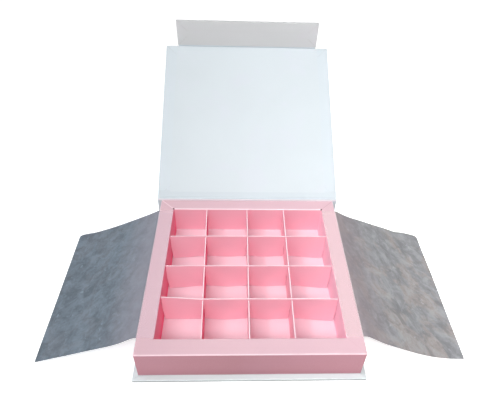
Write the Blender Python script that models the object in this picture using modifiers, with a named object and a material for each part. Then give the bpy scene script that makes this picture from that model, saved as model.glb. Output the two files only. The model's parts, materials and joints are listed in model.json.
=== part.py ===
"""Rigid flip-top chocolate box, standing open on a table.

A case of paper-wrapped boards (base, spine, lid and magnetic front flap) holds a folded card
tray with hollow walls, sixteen cells of slotted dividers and two cover sheets glued to the rims.
The origin is on the table, under the middle of the tray. +Y points to the spine.
"""

import bpy
import bmesh
from math import asin, cos, hypot, pi, radians, sin
from mathutils import Matrix, Vector

MM = 0.001

# Clearances between separate pieces
SEAT_GAP = 0.3 * MM
GLUE_GAP = 0.1 * MM
SHEET_GAP = 0.2 * MM
SEAM_GAP = 0.15 * MM
CUT_OVERRUN = 1.0 * MM
WELD_DISTANCE = 0.02 * MM

# Card tray, folded from one blank
TRAY_WIDTH = 170.0 * MM
TRAY_DEPTH = 171.5 * MM
TRAY_HEIGHT = 28.1 * MM
TRAY_CARD = 0.5 * MM
RIM_SIDE = 13.3 * MM
RIM_FRONT = 13.9 * MM
RIM_BACK = 13.4 * MM
FOLD_RADIUS = 0.8 * MM
GLUE_FLANGE = 8.0 * MM
MITRE_SLIT = 0.3 * MM
MITRE_STOP = 2.2 * MM
CORNER_HOLE_RADIUS = 0.6 * MM

# Slotted dividers
DIVIDER_CARD = 0.9 * MM
DIVIDER_DROP = 1.0 * MM
DIVIDER_TAPER = 0.8 * MM
SLOT_MOUTH = 0.8 * MM
SLOT_MOUTH_RISE = 1.5 * MM
CROSS_PLACE_SHARES = (0.257, 0.502, 0.752)
LONG_PLACE_SHARES = (0.232, 0.493, 0.737)

# Case: greyboard wrapped in white paper
BOARD_THICKNESS = 2.0 * MM
PAPER_THICKNESS = 0.25 * MM
PANEL_EDGE_RADIUS = 0.5 * MM
CASE_SIDE_MARGIN = 4.1 * MM
CASE_FRONT_MARGIN = 3.9 * MM
BASE_TURN_IN = 15.0 * MM
SPINE_TURN_IN = 8.0 * MM
LID_TURN_IN = 12.0 * MM
FLAP_TURN_IN = 11.0 * MM
LID_OPEN_ANGLE = radians(149.5)

# Front flap and its magnets
FLAP_WIDTH = 152.8 * MM
FLAP_REACH = 31.0 * MM
FLAP_CLEARANCE = 0.6 * MM
FLAP_BEND_ANGLE = radians(66.0)
MAGNET_RADIUS = 5.0 * MM
MAGNET_THICKNESS = 1.2 * MM
MAGNET_INSET = 28.0 * MM
MAGNET_DROP = 20.0 * MM
MAGNET_POCKET = 1.6 * MM

# Cover sheets of translucent paper, glued along the side rims
SHEET_THICKNESS = 0.2 * MM
SHEET_LENGTH = 141.0 * MM
SHEET_FRONT_INSET = 14.3 * MM
SHEET_CORNER_RADIUS = 3.0 * MM
LEFT_SHEET_REACH = 86.7 * MM
RIGHT_SHEET_REACH = 92.0 * MM

# Facet counts
EDGE_SEGMENTS = 2
FOLD_SEGMENTS = 3
CORNER_STEPS = 5
MAGNET_FACETS = 32
HOLE_FACETS = 12

# Heights and depths that follow from the sizes above
PANEL_THICKNESS = BOARD_THICKNESS + 2 * (GLUE_GAP + PAPER_THICKNESS)
TRAY_BOTTOM = PANEL_THICKNESS + SEAT_GAP
TRAY_TOP = TRAY_BOTTOM + TRAY_HEIGHT
FLOOR_TOP = TRAY_BOTTOM + TRAY_CARD
TRAY_FRONT = -TRAY_DEPTH / 2
TRAY_BACK = TRAY_DEPTH / 2
CELLS_LEFT = -TRAY_WIDTH / 2 + RIM_SIDE
CELLS_RIGHT = TRAY_WIDTH / 2 - RIM_SIDE
CELLS_FRONT = TRAY_FRONT + RIM_FRONT
CELLS_BACK = TRAY_BACK - RIM_BACK
DIVIDER_BOTTOM = FLOOR_TOP + SEAT_GAP
DIVIDER_HEIGHT = TRAY_TOP - DIVIDER_DROP - DIVIDER_BOTTOM
CASE_WIDTH = TRAY_WIDTH + 2 * CASE_SIDE_MARGIN
CASE_FRONT = TRAY_FRONT - CASE_FRONT_MARGIN
SPINE_FRONT = TRAY_BACK + SEAT_GAP
SPINE_BACK = SPINE_FRONT + PANEL_THICKNESS

# A closed box stacks the glued strip, both cover sheets and the lid on the rim
STRIP_BOTTOM = TRAY_TOP + SHEET_GAP
CREASE_HEIGHT = STRIP_BOTTOM + SHEET_THICKNESS + SHEET_GAP + SHEET_THICKNESS / 2
CREASE_OFFSET = TRAY_WIDTH / 2 + SEAT_GAP
LID_HINGE_Y = SPINE_BACK
LID_HINGE_Z = STRIP_BOTTOM + 3 * SHEET_THICKNESS + 2 * SHEET_GAP + SEAT_GAP
SPINE_BOTTOM = PANEL_THICKNESS + SEAT_GAP
SPINE_TOP = LID_HINGE_Z - SEAT_GAP
STRIP_THICKNESS = 2 * PAPER_THICKNESS + GLUE_GAP
FLAP_AXIS_REACH = LID_HINGE_Y - TRAY_FRONT + PANEL_THICKNESS + FLAP_CLEARANCE
LID_END = FLAP_AXIS_REACH - STRIP_THICKNESS - SEAT_GAP
FLAP_BOARD_START = PANEL_THICKNESS + SEAT_GAP
MAGNET_HEIGHT = LID_HINGE_Z + PANEL_THICKNESS - MAGNET_DROP
MAGNET_OFFSET = FLAP_WIDTH / 2 - MAGNET_INSET


def make_collection(name):
    """Add a collection to the scene."""
    collection = bpy.data.collections.new(name)
    bpy.context.scene.collection.children.link(collection)
    return collection


def make_material(name, colour, roughness, metallic=0.0, alpha=1.0):
    """Make a Principled material with one colour."""
    material = bpy.data.materials.new(name)
    material.use_nodes = True
    shader = material.node_tree.nodes["Principled BSDF"]
    shader.inputs["Base Color"].default_value = (*colour, 1.0)
    shader.inputs["Roughness"].default_value = roughness
    shader.inputs["Metallic"].default_value = metallic
    shader.inputs["Alpha"].default_value = alpha
    material.diffuse_color = (*colour, alpha)
    return material


def make_empty(name, place, rotation=(0.0, 0.0, 0.0), parent=None):
    """Add an empty that carries a moving piece on its hinge axis."""
    empty = bpy.data.objects.new(name, None)
    empty.location = place
    empty.rotation_euler = rotation
    empty.parent = parent
    PARTS.objects.link(empty)
    return empty


def make_object(name, bm, material, parent=None):
    """Turn a bmesh into one named sub-part."""
    mesh = bpy.data.meshes.new(name)
    bm.to_mesh(mesh)
    bm.free()
    part = bpy.data.objects.new(name, mesh)
    part.data.materials.append(material)
    part.parent = parent
    PARTS.objects.link(part)
    return part


def make_cutter(name, bm, parent=None):
    """Turn a bmesh into a hidden tool for a Boolean."""
    mesh = bpy.data.meshes.new(name)
    bm.to_mesh(mesh)
    bm.free()
    cutter = bpy.data.objects.new(name, mesh)
    cutter.parent = parent
    cutter.hide_render = True
    cutter.display_type = "WIRE"
    CUTTERS.objects.link(cutter)
    return cutter


def cut_with(part, cutter):
    """Take a cutter's shape out of a sub-part."""
    boolean = part.modifiers.new(cutter.name, "BOOLEAN")
    boolean.operation = "DIFFERENCE"
    boolean.solver = "EXACT"
    boolean.object = cutter


def round_and_thicken(part, radius, segments, thickness):
    """Round the folds of an open surface and give it the card's thickness, inwards."""
    bevel = part.modifiers.new("folds", "BEVEL")
    bevel.width = radius
    bevel.segments = segments
    bevel.limit_method = "ANGLE"
    bevel.angle_limit = radians(30)
    shell = part.modifiers.new("card", "SOLIDIFY")
    shell.thickness = thickness
    shell.offset = -1
    shell.use_even_offset = True


def add_box(bm, low, high, turn=None):
    """Add a box between two corners to a bmesh."""
    size = [top - bottom for bottom, top in zip(low, high)]
    middle = [(top + bottom) / 2 for bottom, top in zip(low, high)]
    place = Matrix.Translation(middle) @ Matrix.Diagonal((*size, 1))
    if turn is not None:
        place = turn @ place
    return bmesh.ops.create_cube(bm, size=1, matrix=place)["verts"]


def add_disc(bm, centre, radius, depth, facets, axis="Z"):
    """Add a disc or a drill of a given depth, centred on a point."""
    turn = Matrix.Rotation(pi / 2, 4, "X") if axis == "Y" else Matrix.Identity(4)
    bmesh.ops.create_cone(
        bm,
        cap_ends=True,
        segments=facets,
        radius1=radius,
        radius2=radius,
        depth=depth,
        matrix=Matrix.Translation(centre) @ turn,
    )


def corner_slits(bm, left, right, front, back, reach, low, high, width):
    """Add the thin diagonal tools that part two turned panels at the four corners of a frame."""
    length = hypot(reach, reach) - MITRE_STOP
    for x, across in ((left, -1), (right, 1)):
        for y, along in ((front, -1), (back, 1)):
            heading = Vector((across, along, 0)).to_track_quat("X", "Z")
            turn = Matrix.Translation((x, y, 0)) @ heading.to_matrix().to_4x4()
            add_box(bm, (-CUT_OVERRUN, -width / 2, low), (length, width / 2, high), turn)


def build_board(name, width, start, end, level, material, parent=None):
    """Make the greyboard inside a wrapped panel that lies in its parent's XY plane."""
    inset = PAPER_THICKNESS + GLUE_GAP
    bm = bmesh.new()
    low = (-width / 2 + inset, start + inset, level + inset)
    high = (width / 2 - inset, end - inset, level + PANEL_THICKNESS - inset)
    add_box(bm, low, high)
    return make_object(name, bm, material, parent)


def build_wrap(name, width, start, end, level, turn_in, material, parent=None):
    """Wrap a board: outer face, four edges and mitred turn-ins round a window on the inner face."""
    bm = bmesh.new()
    add_box(bm, (-width / 2, start, level), (width / 2, end, level + PANEL_THICKNESS))
    bm.normal_update()
    inner = [face for face in bm.faces if face.normal.z > 0.5]
    bmesh.ops.inset_region(bm, faces=inner, thickness=turn_in, use_even_offset=True)
    bmesh.ops.delete(bm, geom=inner, context="FACES_ONLY")
    wrap = make_object(name, bm, material, parent)
    round_and_thicken(wrap, PANEL_EDGE_RADIUS, EDGE_SEGMENTS, PAPER_THICKNESS)
    slits = bmesh.new()
    corner_slits(
        slits,
        -width / 2 + turn_in,
        width / 2 - turn_in,
        start + turn_in,
        end - turn_in,
        turn_in,
        level + PANEL_THICKNESS - PAPER_THICKNESS - GLUE_GAP / 2,
        level + PANEL_THICKNESS + CUT_OVERRUN,
        SEAM_GAP,
    )
    cut_with(wrap, make_cutter(name + "_mitres", slits, parent))
    return wrap


def build_liner(name, width, start, end, level, turn_in, material, parent=None):
    """Fill a wrap's window with the lining paper, flush with the turn-ins."""
    inset = turn_in + SEAM_GAP
    bm = bmesh.new()
    low = (-width / 2 + inset, start + inset, level + PANEL_THICKNESS - PAPER_THICKNESS)
    high = (width / 2 - inset, end - inset, level + PANEL_THICKNESS)
    add_box(bm, low, high)
    return make_object(name, bm, material, parent)


def build_case_base():
    """The base panel lies on the table and reaches under the spine."""
    build_board("base_board", CASE_WIDTH, CASE_FRONT, SPINE_BACK, 0, GREYBOARD)
    build_wrap("base_wrap", CASE_WIDTH, CASE_FRONT, SPINE_BACK, 0, BASE_TURN_IN, WHITE_PAPER)


def build_spine():
    """The spine stands on the base's back margin, with its inner face glued to the tray."""
    # The stand's Y axis points up and its Z axis forwards, to the tray
    stand = make_empty("spine_stand", (0, SPINE_BACK, 0), (pi / 2, 0, 0))
    build_board("spine_board", CASE_WIDTH, SPINE_BOTTOM, SPINE_TOP, 0, GREYBOARD, stand)
    build_wrap(
        "spine_wrap", CASE_WIDTH, SPINE_BOTTOM, SPINE_TOP, 0, SPINE_TURN_IN, WHITE_PAPER, stand
    )


def build_lid():
    """The lid leans back from its crease at the spine's top edge."""
    hinge = make_empty("lid_hinge", (0, LID_HINGE_Y, LID_HINGE_Z), (pi - LID_OPEN_ANGLE, 0, 0))
    panel = (CASE_WIDTH, SEAT_GAP, LID_END, -PANEL_THICKNESS)
    build_board("lid_board", *panel, GREYBOARD, hinge)
    build_wrap("lid_wrap", *panel, LID_TURN_IN, WHITE_PAPER, hinge)
    build_liner("lid_liner", *panel, LID_TURN_IN, LINING_PAPER, hinge)
    return hinge


def build_flap(lid_hinge):
    """The flap hangs on a strip of wrap and lining, creased along the lid's front outer edge."""
    crease = (0, FLAP_AXIS_REACH, -PANEL_THICKNESS)
    hinge = make_empty("flap_hinge", crease, (FLAP_BEND_ANGLE, 0, 0), lid_hinge)
    panel = (FLAP_WIDTH, FLAP_BOARD_START, FLAP_REACH, 0)
    board = build_board("flap_board", *panel, GREYBOARD, hinge)
    wrap = build_wrap("flap_wrap", *panel, FLAP_TURN_IN, WHITE_PAPER, hinge)
    build_liner("flap_liner", *panel, FLAP_TURN_IN, LINING_PAPER, hinge)

    # The strip is one paper with the wrap, and runs into the wall of its near edge
    strip = bmesh.new()
    half = FLAP_WIDTH / 2 - PANEL_EDGE_RADIUS
    add_box(strip, (-half, SEAT_GAP, 0), (half, FLAP_BOARD_START + SEAM_GAP, STRIP_THICKNESS))
    joined = wrap.modifiers.new("crease_strip", "BOOLEAN")
    joined.operation = "UNION"
    joined.solver = "EXACT"
    joined.object = make_cutter("crease_strip", strip, hinge)

    # Magnets sit in blind pockets in the board, open to the lining
    board_face = PANEL_THICKNESS - PAPER_THICKNESS - GLUE_GAP
    pockets = bmesh.new()
    for side, name in ((-1, "left_flap_magnet"), (1, "right_flap_magnet")):
        centre = Vector((side * MAGNET_OFFSET, MAGNET_DROP, board_face))
        pocket_radius = MAGNET_RADIUS + SEAT_GAP
        add_disc(pockets, centre, pocket_radius, 2 * MAGNET_POCKET, MAGNET_FACETS)
        magnet = bmesh.new()
        sunk = MAGNET_POCKET - SEAT_GAP - MAGNET_THICKNESS / 2
        add_disc(magnet, centre - Vector((0, 0, sunk)), MAGNET_RADIUS, MAGNET_THICKNESS, MAGNET_FACETS)
        make_object(name, magnet, STEEL, hinge)
    cut_with(board, make_cutter("magnet_pockets", pockets, hinge))


def extrude_ring(bm, edges, left, right, front, back, height):
    """Carry the open edges of a folded blank to the next rectangle."""
    grown = bmesh.ops.extrude_edge_only(bm, edges=edges)["geom"]
    for vert in (item for item in grown if isinstance(item, bmesh.types.BMVert)):
        x = left if vert.co.x < 0 else right
        y = front if vert.co.y < 0 else back
        vert.co = (x, y, height)
    return [item for item in grown if isinstance(item, bmesh.types.BMEdge) and item.is_boundary]


def build_tray():
    """Fold the tray: floor, inner walls, rims, outer walls and the glue flanges beneath."""
    half = TRAY_WIDTH / 2
    bm = bmesh.new()
    bmesh.ops.create_grid(bm, x_segments=1, y_segments=1, size=half)
    for vert in bm.verts:
        x = CELLS_LEFT if vert.co.x < 0 else CELLS_RIGHT
        y = CELLS_FRONT if vert.co.y < 0 else CELLS_BACK
        vert.co = (x, y, FLOOR_TOP)
    edges = list(bm.edges)
    edges = extrude_ring(bm, edges, CELLS_LEFT, CELLS_RIGHT, CELLS_FRONT, CELLS_BACK, TRAY_TOP)
    edges = extrude_ring(bm, edges, -half, half, TRAY_FRONT, TRAY_BACK, TRAY_TOP)
    edges = extrude_ring(bm, edges, -half, half, TRAY_FRONT, TRAY_BACK, TRAY_BOTTOM)
    flange = GLUE_FLANGE
    extrude_ring(
        bm,
        edges,
        -half + flange,
        half - flange,
        TRAY_FRONT + flange,
        TRAY_BACK - flange,
        TRAY_BOTTOM,
    )
    bmesh.ops.recalc_face_normals(bm, faces=bm.faces)
    bm.normal_update()
    floor = min(bm.faces, key=lambda face: face.calc_center_median().to_2d().length)
    if floor.normal.z < 0:
        bmesh.ops.reverse_faces(bm, faces=bm.faces)
    tray = make_object("tray", bm, PINK_CARD)
    round_and_thicken(tray, FOLD_RADIUS, FOLD_SEGMENTS, TRAY_CARD)
    cut_rim_corners(tray)


def cut_rim_corners(tray):
    """Slit the rim where its mitred panels meet, with a small hole at each inner corner."""
    low = TRAY_TOP - TRAY_CARD - FOLD_RADIUS
    high = TRAY_TOP + CUT_OVERRUN
    middle = (low + high) / 2
    corners = (CELLS_LEFT, CELLS_RIGHT, CELLS_FRONT, CELLS_BACK)
    slits = bmesh.new()
    corner_slits(slits, *corners, RIM_SIDE, low, high, MITRE_SLIT)
    cut_with(tray, make_cutter("rim_mitres", slits))
    holes = bmesh.new()
    for x in (CELLS_LEFT, CELLS_RIGHT):
        for y in (CELLS_FRONT, CELLS_BACK):
            add_disc(holes, (x, y, middle), CORNER_HOLE_RADIUS, high - low, HOLE_FACETS)
    cut_with(tray, make_cutter("rim_corner_holes", holes))


def divider_outline(length, slots, slots_at_top):
    """Outline of one divider: tapered ends and half-depth slots with flared mouths."""
    middle = DIVIDER_HEIGHT / 2
    depth = middle + SEAT_GAP / 2
    half_slot = DIVIDER_CARD / 2 + SEAT_GAP
    half_mouth = half_slot + SLOT_MOUTH
    slotted = [(0, 0)]
    for slot in slots:
        slotted += [
            (slot - half_mouth, 0),
            (slot - half_slot, SLOT_MOUTH_RISE),
            (slot - half_slot, depth),
            (slot + half_slot, depth),
            (slot + half_slot, SLOT_MOUTH_RISE),
            (slot + half_mouth, 0),
        ]
    slotted.append((length, 0))
    if slots_at_top:
        slotted = [(x, DIVIDER_HEIGHT - z) for x, z in slotted]
        slotted[0] = (0, DIVIDER_HEIGHT)
        rest = [(length, middle), (length - DIVIDER_TAPER, 0), (DIVIDER_TAPER, 0), (0, middle)]
        return slotted + rest
    slotted[0] = (DIVIDER_TAPER, 0)
    slotted[-1] = (length - DIVIDER_TAPER, 0)
    return slotted + [(length, middle), (length, DIVIDER_HEIGHT), (0, DIVIDER_HEIGHT), (0, middle)]


def flat_card(name, outline, thickness):
    """Make a card from a closed flat outline, centred on its own plane."""
    curve = bpy.data.curves.new(name, "CURVE")
    curve.dimensions = "2D"
    curve.fill_mode = "BOTH"
    curve.extrude = thickness / 2
    spline = curve.splines.new("POLY")
    spline.points.add(len(outline) - 1)
    for point, (x, y) in zip(spline.points, outline):
        point.co = (x, y, 0, 1)
    spline.use_cyclic_u = True
    holder = bpy.data.objects.new(name, curve)
    bpy.context.scene.collection.objects.link(holder)
    bpy.context.view_layer.update()
    evaluated = holder.evaluated_get(bpy.context.evaluated_depsgraph_get())
    mesh = bpy.data.meshes.new_from_object(evaluated)
    bpy.data.objects.remove(holder)
    bpy.data.curves.remove(curve)
    bm = bmesh.new()
    bm.from_mesh(mesh)
    bpy.data.meshes.remove(mesh)
    bmesh.ops.remove_doubles(bm, verts=bm.verts, dist=WELD_DISTANCE)
    bmesh.ops.recalc_face_normals(bm, faces=bm.faces)
    return bm


def build_dividers():
    """Stand three slotted cards across the tray and three along it, crossing half in half."""
    width = CELLS_RIGHT - CELLS_LEFT
    depth = CELLS_BACK - CELLS_FRONT
    cross_length = width - 2 * SEAT_GAP
    long_length = depth - 2 * SEAT_GAP
    cross_slots = [width * share - SEAT_GAP for share in LONG_PLACE_SHARES]
    long_slots = [depth * share - SEAT_GAP for share in CROSS_PLACE_SHARES]
    cross_outline = divider_outline(cross_length, cross_slots, False)
    long_outline = divider_outline(long_length, long_slots, True)
    for number, share in enumerate(CROSS_PLACE_SHARES, start=1):
        name = f"cross_divider_{number}"
        card = make_object(name, flat_card(name, cross_outline, DIVIDER_CARD), PINK_CARD)
        card.location = (CELLS_LEFT + SEAT_GAP, CELLS_FRONT + depth * share, DIVIDER_BOTTOM)
        card.rotation_euler = (pi / 2, 0, 0)
    for number, share in enumerate(LONG_PLACE_SHARES, start=1):
        name = f"long_divider_{number}"
        card = make_object(name, flat_card(name, long_outline, DIVIDER_CARD), PINK_CARD)
        card.location = (CELLS_LEFT + width * share, CELLS_FRONT + SEAT_GAP, DIVIDER_BOTTOM)
        card.rotation_euler = (pi / 2, 0, pi / 2)


def build_tray_magnets():
    """Glue two magnets behind the tray's front wall, where the closed flap's magnets come to lie."""
    y = TRAY_FRONT + TRAY_CARD + SEAT_GAP + MAGNET_THICKNESS / 2
    for side, name in ((-1, "left_tray_magnet"), (1, "right_tray_magnet")):
        magnet = bmesh.new()
        centre = (side * MAGNET_OFFSET, y, MAGNET_HEIGHT)
        add_disc(magnet, centre, MAGNET_RADIUS, MAGNET_THICKNESS, MAGNET_FACETS, "Y")
        make_object(name, magnet, STEEL)


def sheet_outline(reach):
    """Outline of a cover sheet's free part: square at the crease, rounded at the free corners."""
    radius = SHEET_CORNER_RADIUS
    outline = [(SHEET_GAP, SHEET_LENGTH), (SHEET_GAP, 0)]
    for y, start in ((radius, -pi / 2), (SHEET_LENGTH - radius, 0)):
        for step in range(CORNER_STEPS + 1):
            angle = start + step * (pi / 2) / CORNER_STEPS
            outline.append((reach - radius + radius * cos(angle), y + radius * sin(angle)))
    return outline


def build_cover_sheets():
    """Lay a glued strip on each side rim, and hang its free sheet from the crease to the table."""
    front = TRAY_FRONT + SHEET_FRONT_INSET
    inner = TRAY_WIDTH / 2 - RIM_SIDE + SHEET_GAP
    outer = TRAY_WIDTH / 2
    for side, word, reach in ((-1, "left", LEFT_SHEET_REACH), (1, "right", RIGHT_SHEET_REACH)):
        strip = bmesh.new()
        low = (min(side * inner, side * outer), front, STRIP_BOTTOM)
        high = (max(side * inner, side * outer), front + SHEET_LENGTH, STRIP_BOTTOM + SHEET_THICKNESS)
        add_box(strip, low, high)
        make_object(f"{word}_glued_strip", strip, VELLUM)

        # The free edge comes to lie just above the table
        drop = asin((CREASE_HEIGHT - SHEET_THICKNESS) / reach)
        heading = drop if side > 0 else pi - drop
        crease = (side * CREASE_OFFSET, front, CREASE_HEIGHT)
        hinge = make_empty(f"{word}_crease", crease, (0, heading, 0))
        sheet = flat_card(f"{word}_sheet", sheet_outline(reach), SHEET_THICKNESS)
        make_object(f"{word}_sheet", sheet, VELLUM, hinge)


for old in list(bpy.data.objects):
    bpy.data.objects.remove(old, do_unlink=True)

PARTS = make_collection("flip_top_box")
CUTTERS = make_collection("cutters")

WHITE_PAPER = make_material("white_paper", (0.85, 0.87, 0.90), 0.45)
LINING_PAPER = make_material("lining_paper", (0.88, 0.91, 0.94), 0.5)
GREYBOARD = make_material("greyboard", (0.42, 0.40, 0.37), 0.9)
PINK_CARD = make_material("pink_card", (0.90, 0.48, 0.56), 0.6)
VELLUM = make_material("vellum", (0.45, 0.48, 0.52), 0.5, alpha=0.8)
STEEL = make_material("magnet_steel", (0.60, 0.60, 0.62), 0.3, metallic=1.0)

build_case_base()
build_spine()
build_flap(build_lid())
build_tray()
build_dividers()
build_tray_magnets()
build_cover_sheets()
bpy.context.view_layer.update()
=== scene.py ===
"""Looks for the open flip-top chocolate box.

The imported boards, wraps and tray stay as they are and get their papers and card. The linings, the
creases of wrapping paper, the slotted dividers and the vellum cover sheets are modelled here.
"""

import json
from math import cos, pi, radians, sin, sqrt
from typing import NamedTuple

import bmesh
import bpy
from bpy.props import FloatProperty, FloatVectorProperty, PointerProperty
from bpy.types import Operator, Panel, PropertyGroup
from mathutils import Matrix, Vector, noise


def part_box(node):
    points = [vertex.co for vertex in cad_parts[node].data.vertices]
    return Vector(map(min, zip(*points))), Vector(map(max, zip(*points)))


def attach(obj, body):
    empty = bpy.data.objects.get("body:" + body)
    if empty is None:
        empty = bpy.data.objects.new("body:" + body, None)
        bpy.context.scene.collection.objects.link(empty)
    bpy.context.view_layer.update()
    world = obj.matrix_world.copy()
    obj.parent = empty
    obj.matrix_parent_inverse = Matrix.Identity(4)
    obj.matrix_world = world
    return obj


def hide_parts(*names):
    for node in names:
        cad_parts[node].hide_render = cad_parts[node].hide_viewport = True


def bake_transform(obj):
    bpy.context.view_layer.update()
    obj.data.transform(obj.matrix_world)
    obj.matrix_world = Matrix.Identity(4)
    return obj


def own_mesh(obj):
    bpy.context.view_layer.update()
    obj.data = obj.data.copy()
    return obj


bl_info = {
    "name": "Flip-top chocolate box",
    "version": (1, 0, 0),
    "blender": (4, 5, 0),
    "location": "3D View > Sidebar > Gift Box",
    "description": "Papers, cards, dividers and cover sheets of an open flip-top gift box",
    "category": "Object",
}

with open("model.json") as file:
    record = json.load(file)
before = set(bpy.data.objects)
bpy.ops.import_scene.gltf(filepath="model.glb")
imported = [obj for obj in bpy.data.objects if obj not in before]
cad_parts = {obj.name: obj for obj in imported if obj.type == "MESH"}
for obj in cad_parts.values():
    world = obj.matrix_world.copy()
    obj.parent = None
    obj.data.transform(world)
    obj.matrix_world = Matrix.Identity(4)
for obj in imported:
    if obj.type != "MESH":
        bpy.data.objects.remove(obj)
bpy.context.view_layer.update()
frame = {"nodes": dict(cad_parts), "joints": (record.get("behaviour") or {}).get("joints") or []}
MM = 0.001
ALONG_X = Vector((1.0, 0.0, 0.0))
ALONG_Y = Vector((0.0, 1.0, 0.0))
ALONG_Z = Vector((0.0, 0.0, 1.0))

# Places, and the case panels' thickness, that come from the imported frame
LID_PIVOT = Vector(frame["joints"][0]["pos_m"])
FLAP_PIVOT = Vector(frame["joints"][1]["pos_m"])
SHEET_FOLD = frame["joints"][3]["pos_m"][0]
LID_RISE = radians(-frame["joints"][0]["range_deg"][0])
FLAP_BEND = radians(-frame["joints"][1]["range_deg"][0])
TRAY_LOW, TRAY_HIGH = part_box("tray")
SPINE_LOW, SPINE_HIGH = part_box("spine_wrap")
BASE_LOW, BASE_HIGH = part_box("base_wrap")
STRIP_LOW, STRIP_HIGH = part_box("right_glued_strip")
PANEL = BASE_HIGH.z - BASE_LOW.z

# The gap between one paper's face and another's, and how close a point has to be to be picked
CLEAR = 0.01 * MM
NEAR = 0.01 * MM

# The cells' outer corners, where the rims' mitred panels meet
INNER_X = STRIP_LOW.x - 0.2 * MM
INNER_FRONT = TRAY_LOW.y + 13.9 * MM
INNER_BACK = TRAY_HIGH.y - 13.4 * MM
INNER_MIDDLE = (INNER_FRONT + INNER_BACK) / 2
INNER_HALF = (INNER_BACK - INNER_FRONT) / 2


class SheetLook(NamedTuple):
    """What one cover sheet has of its own: side, fold, profiles and the character of its paper."""

    side: int
    joint: int
    back: tuple
    front: tuple
    paper: str
    patch_colour: tuple
    rim_light_colour: tuple
    border_colours: tuple
    patch_scale: float
    patch_share: float
    stretch: float
    creased: bool


# The profiles run outwards from the box's middle and up from the table, in millimetres
SHEETS = {
    "left": SheetLook(
        side=-1, joint=2, paper="cool",
        back=(
            (84.9, 31.62), (86.6, 30.9), (93.9, 26.9), (107.3, 20.6), (116.9, 16.0), (130.6, 10.0),
            (148.6, 3.9), (156.5, 2.3), (163.0, 0.9), (166.0, 0.25),
        ),
        front=(
            (84.9, 31.62), (86.8, 31.3), (90.5, 29.4), (96.8, 25.4), (106.3, 20.8), (122.0, 15.2),
            (138.0, 9.5), (154.1, 4.4), (160.0, 2.5), (166.6, 0.25),
        ),
        patch_colour=(0.21, 0.229, 0.265),
        rim_light_colour=(0.345, 0.328, 0.386),
        border_colours=((0.955, 0.785, 0.855), (0.975, 0.8, 0.872)),
        patch_scale=62.0, patch_share=0.5, stretch=1.25, creased=False,
    ),
    "right": SheetLook(
        side=1, joint=3, paper="warm",
        back=(
            (84.9, 31.62), (86.8, 31.1), (92.0, 27.8), (99.8, 24.0), (111.0, 19.8), (125.4, 14.3),
            (140.0, 9.1), (148.9, 5.6), (157.3, 4.6), (166.2, 2.2), (173.0, 0.25),
        ),
        front=(
            (84.9, 31.62), (87.0, 31.8), (89.9, 30.6), (96.4, 26.2), (103.5, 21.6), (115.1, 16.0),
            (129.1, 9.6), (138.5, 5.8), (147.8, 2.8), (158.0, 0.8), (164.0, 0.4), (172.3, 0.25),
        ),
        patch_colour=(0.38, 0.339, 0.324),
        rim_light_colour=(0.325, 0.262, 0.286),
        border_colours=((0.975, 0.81, 0.83), (0.995, 0.83, 0.85)),
        patch_scale=46.0, patch_share=0.85, stretch=1.7, creased=True,
    ),
}


def colour_setting(name, description, default):
    """A colour that a user would change."""
    return FloatVectorProperty(
        name=name, description=description, subtype="COLOR", size=3, min=0.0, max=1.0, default=default
    )


def number_setting(name, description, default, least, most, **kind):
    """A number that a user would change, with its unit or subtype where one fits."""
    return FloatProperty(name=name, description=description, default=default, min=least, max=most, **kind)


def length_setting(name, description, default, least, most):
    """A length that a user would change, given in millimetres."""
    return number_setting(name, description, default * MM, least * MM, most * MM, unit="LENGTH")


def turn_setting(name, description, default):
    """A small turn that a user would change, given in degrees."""
    return number_setting(name, description, radians(default), -0.03, 0.03, subtype="ANGLE")


def power_setting(name, description, default):
    """The power of a light."""
    return number_setting(name, description, default, 0.0, 50.0, unit="POWER")


class PaperSettings(PropertyGroup):
    """Wrapping and lining papers of the case."""

    wrap_colour: colour_setting("Wrap colour", "Colour of the white wrapping paper", (0.66, 0.725, 0.767))
    # The flap's papers are the wrap made darker and warmer: painted shade with a warm cast of light from
    # the pink tray
    shaded_flap_colour: colour_setting(
        "Flap paper colour", "Colour of the papers on the flap, a touch warmer", (0.608, 0.617, 0.62)
    )
    lining_colour: colour_setting(
        "Lining colour", "Colour of the lining paper inside the lid", (0.664, 0.724, 0.758)
    )
    board_colour: colour_setting("Board colour", "Colour of the raw greyboard", (0.32, 0.30, 0.27))
    lining_thickness: length_setting(
        "Lining thickness", "Thickness of the lining paper inside the lid and flap", 0.12, 0.03, 0.3
    )
    crease_thickness: length_setting(
        "Crease paper thickness", "Thickness of the paper that bridges a crease", 0.09, 0.03, 0.3
    )


class CardSettings(PropertyGroup):
    """Pink card of the tray and dividers."""

    tray_colour: colour_setting("Tray colour", "Colour of the card on the rims", (0.75, 0.503, 0.559))
    # The outer walls' colour is the card made darker, as painted shade
    shaded_wall_colour: colour_setting(
        "Outer wall colour", "Deeper tone of the card on the outer walls", (0.385, 0.168, 0.204)
    )
    cell_colour: colour_setting(
        "Cell colour", "Clear pink of the tray's card inside the cells", (0.997, 0.53, 0.628)
    )
    # The cells' floors are the card made paler, as painted light
    floor_colour: colour_setting(
        "Cell floor colour", "Paler pink of the card on the cells' floors", (0.865, 0.635, 0.70)
    )
    divider_colour: colour_setting("Divider colour", "Colour of the dividers' card", (0.997, 0.53, 0.626))
    # Painted shade on the card's faces that look right
    painted_shade_colour: colour_setting(
        "Deep colour", "Deeper pink of the faces that look right, away from the light", (1.0, 0.12, 0.26)
    )
    # Along the rim's folds and the back left mitres this colour is also a painted highlight
    core_colour: colour_setting(
        "Core colour", "Paler colour of the card's cut edges and rubbed folds", (0.99, 0.78, 0.836)
    )


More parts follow.
